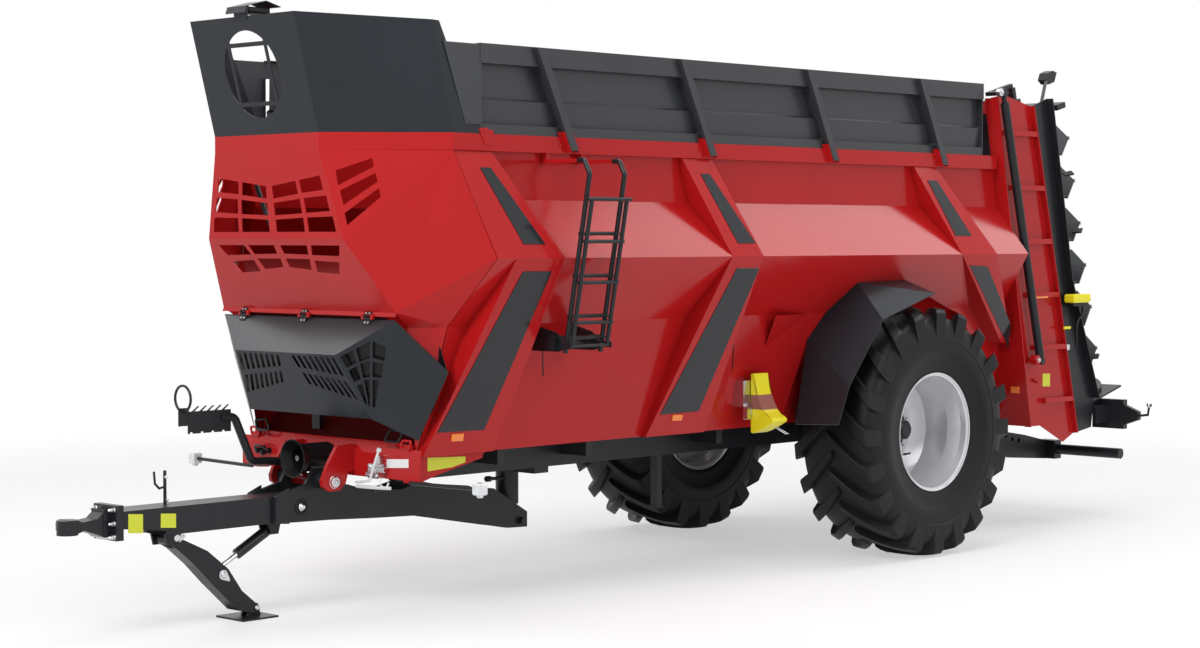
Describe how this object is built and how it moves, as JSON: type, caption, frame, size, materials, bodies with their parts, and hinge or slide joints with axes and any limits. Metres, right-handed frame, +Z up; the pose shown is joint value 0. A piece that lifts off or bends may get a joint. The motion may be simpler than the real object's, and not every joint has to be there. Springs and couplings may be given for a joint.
{
  "type": "towed manure spreader",
  "caption": "Single-axle towed manure spreader with a faceted hopper, floor apron, lifting tailgate, two upright beaters and a folding parking jack.",
  "frame": {"origin": "on the ground under the middle of the overall box", "axes": "+X forward to the drawbar, +Y to the machine's left, +Z up"},
  "size_m": [9.7666, 2.938, 3.762],
  "materials": {
    "black_plastic": "satin",
    "dark_paint": "satin",
    "red_paint": "gloss",
    "silver_paint": "satin",
    "steel": "bright",
    "tyre": "matt",
    "yellow": "satin"
  },
  "bodies": {
    "spreader_frame": {"apron": "steel", "axle": "dark_paint", "beater_bridge": "dark_paint", "beater_housing_left": "dark_paint", "beater_housing_right": "dark_paint", "beater_table": "dark_paint", "chassis": "dark_paint", "chock_holder": "dark_paint", "coupling": "dark_paint", "drawbar": "dark_paint", "fender_left": "dark_paint", "fender_right": "dark_paint", "front_extension": "dark_paint", "front_marker_left": "dark_paint", "front_marker_right": "dark_paint", "front_shroud": "red_paint", "gate_cylinder_left": "dark_paint", "gate_cylinder_right": "dark_paint", "headstock": "red_paint", "hopper_floor": "steel", "hopper_front_wall": "red_paint", "hopper_side_left": "red_paint", "hopper_side_right": "red_paint", "hose_arm": "dark_paint", "hose_hook": "dark_paint", "ladder": "dark_paint", "ladder_bracket": "dark_paint", "light_panel_left": "dark_paint", "light_panel_right": "dark_paint", "pto_guard": "black_plastic", "rear_crossbeam": "red_paint", "rear_frame_left": "red_paint", "rear_frame_right": "red_paint", "side_extension_left": "dark_paint", "side_extension_right": "dark_paint", "spring_bracket": "dark_paint", "spring_cylinder": "dark_paint", "top_rail": "red_paint", "underrun_bar": "dark_paint", "wheel_chock": "yellow", "work_lamp": "dark_paint"},
    "wheel_left": {"tyre_left": "tyre", "rim_left": "silver_paint", "hub_left": "dark_paint"},
    "wheel_right": {"tyre_right": "tyre", "rim_right": "silver_paint", "hub_right": "dark_paint"},
    "tailgate": {"tailgate": "steel", "gate_arm_left": "dark_paint", "gate_arm_right": "dark_paint"},
    "beater_left": {"beater_left": "dark_paint"},
    "beater_right": {"beater_right": "dark_paint"},
    "jack_leg": {"jack_leg": "dark_paint"},
    "jack_foot": {"jack_foot": "dark_paint"},
    "jack_barrel": {"jack_barrel": "dark_paint"},
    "jack_rod": {"jack_rod": "steel"},
    "front_cover": {"front_cover": "dark_paint"},
    "lower_ladder": {"lower_ladder": "dark_paint"},
    "pto_shaft": {"pto_shaft": "steel"}
  },
  "joints": [
    {"name": "wheel_left_spin", "type": "hinge", "parent": "spreader_frame", "child": "wheel_left", "pos_m": [-1.60873, 1.139, 0.91], "axis": [0, 1, 0], "continuous": true},
    {"name": "wheel_right_spin", "type": "hinge", "parent": "spreader_frame", "child": "wheel_right", "pos_m": [-1.60873, -1.139, 0.91], "axis": [0, 1, 0], "continuous": true},
    {"name": "tailgate_lift", "type": "slide", "parent": "spreader_frame", "child": "tailgate", "axis": [0.2504, 0, 0.9681], "range_m": [0, 1.3]},
    {"name": "beater_left_spin", "type": "hinge", "parent": "spreader_frame", "child": "beater_left", "pos_m": [-4.41873, 0.522, 1.03], "axis": [0.2504, 0, 0.9681], "continuous": true},
    {"name": "beater_right_spin", "type": "hinge", "parent": "spreader_frame", "child": "beater_right", "pos_m": [-4.41873, -0.522, 1.03], "axis": [0.2504, 0, 0.9681], "continuous": true},
    {"name": "pto_shaft_spin", "type": "hinge", "parent": "spreader_frame", "child": "pto_shaft", "pos_m": [2.99127, 0, 0.95], "axis": [1, 0, 0], "continuous": true},
    {"name": "jack_leg_fold", "type": "hinge", "parent": "spreader_frame", "child": "jack_leg", "pos_m": [4.14427, 0, 0.535], "axis": [0, 1, 0], "range_deg": [0, 25]},
    {"name": "jack_foot_tilt", "type": "hinge", "parent": "jack_leg", "child": "jack_foot", "pos_m": [3.51727, 0, 0.062], "axis": [0, 1, 0], "range_deg": [-15, 15]},
    {"name": "jack_barrel_swing", "type": "hinge", "parent": "spreader_frame", "child": "jack_barrel", "pos_m": [3.37027, 0, 0.53], "axis": [0, 1, 0], "range_deg": [-20, 0]},
    {"name": "jack_rod_slide", "type": "slide", "parent": "jack_barrel", "child": "jack_rod", "axis": [0.8827, 0, -0.4698], "range_m": [-0.13, 0]},
    {"name": "front_cover_hinge", "type": "hinge", "parent": "spreader_frame", "child": "front_cover", "pos_m": [3.08527, 0, 1.834], "axis": [0, -1, 0], "range_deg": [0, 70]},
    {"name": "lower_ladder_fold", "type": "hinge", "parent": "spreader_frame", "child": "lower_ladder", "pos_m": [1.83227, 1.26276, 1.651], "axis": [-1, 0, 0], "range_deg": [0, 165]}
  ],
  "couplings": [
    {"joint": "beater_right_spin", "follows": "beater_left_spin", "ratio": -1},
    {"joint": "pto_shaft_spin", "follows": "beater_left_spin", "ratio": 2.5},
    {"joint": "jack_barrel_swing", "follows": "jack_leg_fold", "ratio": -0.645},
    {"joint": "jack_rod_slide", "follows": "jack_leg_fold", "m_per_rad": -0.29}
  ]
}
